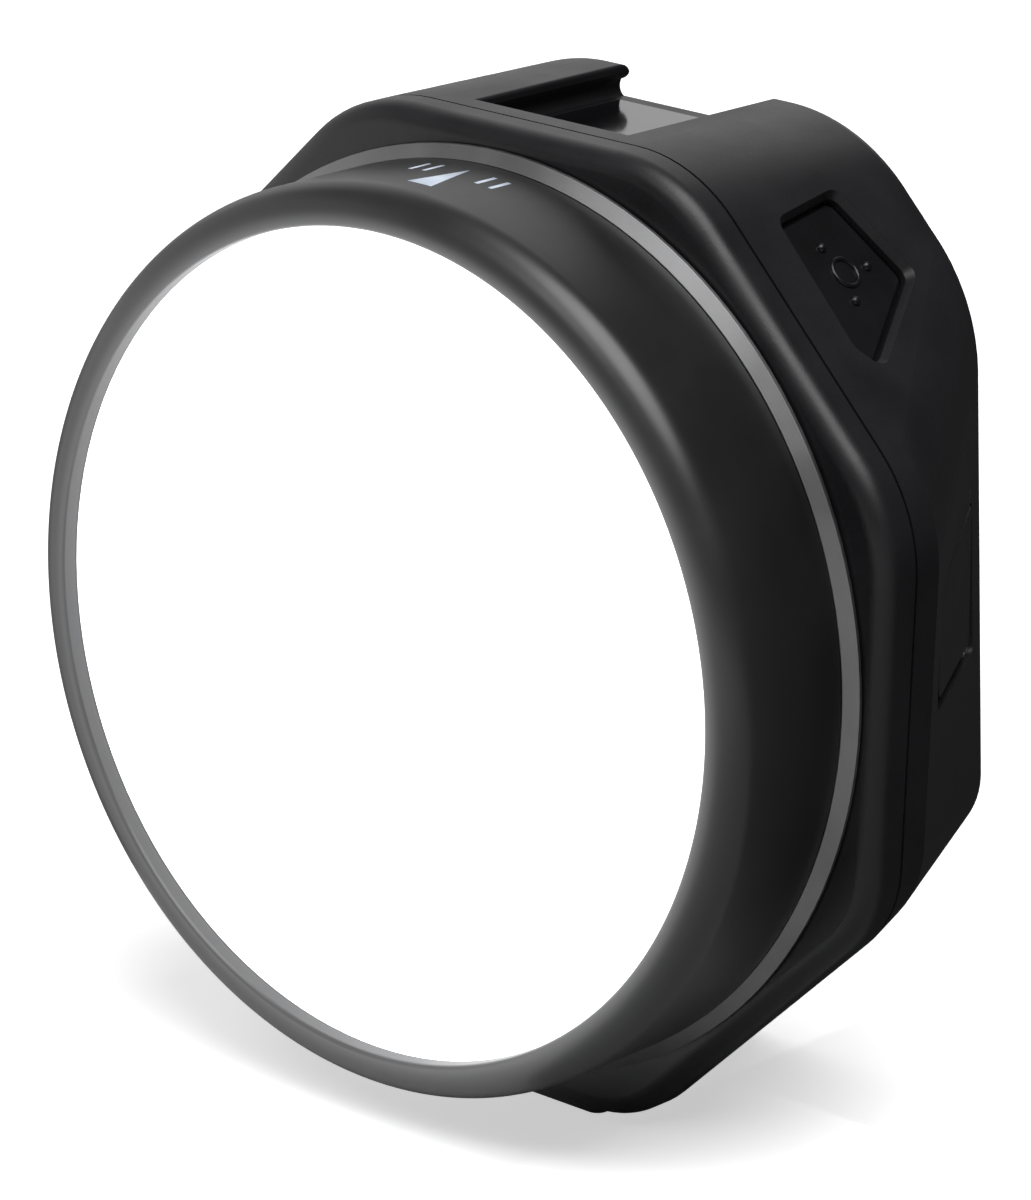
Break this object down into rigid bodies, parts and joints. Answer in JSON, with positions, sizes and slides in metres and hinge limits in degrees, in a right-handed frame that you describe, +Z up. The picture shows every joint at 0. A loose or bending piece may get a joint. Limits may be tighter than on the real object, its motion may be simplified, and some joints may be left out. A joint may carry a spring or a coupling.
{
  "type": "fresnel spotlight",
  "caption": "Compact fresnel spotlight: turning focus drum with lens, octagonal housing with a slide-in top channel, soft-touch buttons and a charging port door.",
  "frame": {"origin": "on the surface the lamp stands on, under the middle of its overall box", "axes": "+Z up, -Y the way the lamp shines, +X to the right as seen from the front"},
  "size_m": [0.161, 0.0793, 0.1618],
  "materials": {
    "black_plastic": "black PC-ABS, fine spark texture",
    "silicone": "silicone rubber, black",
    "trim_metal": "anodised aluminium, satin grey",
    "felt": "pressed felt, black",
    "gloss_black": "gloss black",
    "steel": "ground steel",
    "zinc_screw": "black zinc plated steel",
    "brass": "turned brass",
    "board": "glass-epoxy circuit board",
    "spring_metal": "nickel-plated spring steel",
    "fan_plastic": "glass-filled PBT",
    "parts_mixed": "moulded components",
    "cell_wrap": "shrink film",
    "cam_plastic": "acetal, dark grey",
    "drum_plastic": "black polycarbonate, satin",
    "lens_plastic": "moulded PMMA, lit",
    "heat_metal": "anodised aluminium",
    "pad_grey": "silicone thermal pad",
    "led_metal": "white solder mask on aluminium",
    "phosphor": "yellow phosphor",
    "reflector": "vapour-coated plastic",
    "button_rubber": "silicone rubber, satin"
  },
  "bodies": {
    "housing": {"front_shell": "black_plastic", "rear_shell": "black_plastic", "seam_gasket": "silicone", "trim_ring": "trim_metal", "glide_ring": "felt", "channel_floor_plate": "gloss_black", "guide_rods": "steel", "shell_screws": "zinc_screw", "tripod_insert": "brass", "rubber_feet": "silicone", "button_boards": "board", "snap_domes": "spring_metal", "port_door_pin": "steel", "charging_socket": "steel", "charging_board": "board", "fan_frame": "fan_plastic", "fan_screws": "zinc_screw", "driver_board": "board", "driver_parts": "parts_mixed", "battery_cells": "cell_wrap", "battery_holder": "cam_plastic", "battery_contacts": "spring_metal"},
    "drum": {"focus_drum": "drum_plastic", "fresnel_lens": "lens_plastic", "lens_gasket": "silicone", "lens_retaining_ring": "cam_plastic", "cam_ring": "cam_plastic", "cam_screws": "zinc_screw"},
    "carriage": {"carriage_frame": "heat_metal", "cam_followers": "steel", "carriage_bushes": "brass", "heat_sink": "heat_metal", "sink_screws": "zinc_screw", "thermal_pad": "pad_grey", "led_board": "led_metal", "led_emitter": "phosphor", "led_holder": "cam_plastic", "reflector_cup": "reflector"},
    "fan": {"fan_rotor": "fan_plastic"},
    "right_button": {"button_cap_right": "button_rubber"},
    "left_button": {"button_cap_left": "button_rubber"},
    "door": {"port_door": "black_plastic"}
  },
  "joints": [
    {"name": "focus_turn", "type": "hinge", "parent": "housing", "child": "drum", "pos_m": [0, -0.025, 0.0813], "axis": [0, 1, 0], "range_deg": [0, 90]},
    {"name": "carriage_slide", "type": "slide", "parent": "housing", "child": "carriage", "axis": [0, 1, 0], "range_m": [0, 0.014]},
    {"name": "fan_spin", "type": "hinge", "parent": "housing", "child": "fan", "pos_m": [0, 0.0333, 0.0813], "axis": [0, 1, 0], "continuous": true},
    {"name": "right_button_press", "type": "slide", "parent": "housing", "child": "right_button", "axis": [-0.7071, 0, -0.7071], "range_m": [0, 0.0008], "stiffness_N_per_m": 1500, "springref_m": -0.0006},
    {"name": "left_button_press", "type": "slide", "parent": "housing", "child": "left_button", "axis": [0.7071, 0, -0.7071], "range_m": [0, 0.0008], "stiffness_N_per_m": 1500, "springref_m": -0.0006},
    {"name": "port_door_hinge", "type": "hinge", "parent": "housing", "child": "door", "pos_m": [0.06453, 0.03173, 0.09126], "axis": [-0.0289, -0.0147, 0.9995], "range_deg": [0, 105]}
  ],
  "couplings": [
    {"joint": "carriage_slide", "follows": "focus_turn", "m_per_rad": 0.0089127}
  ]
}
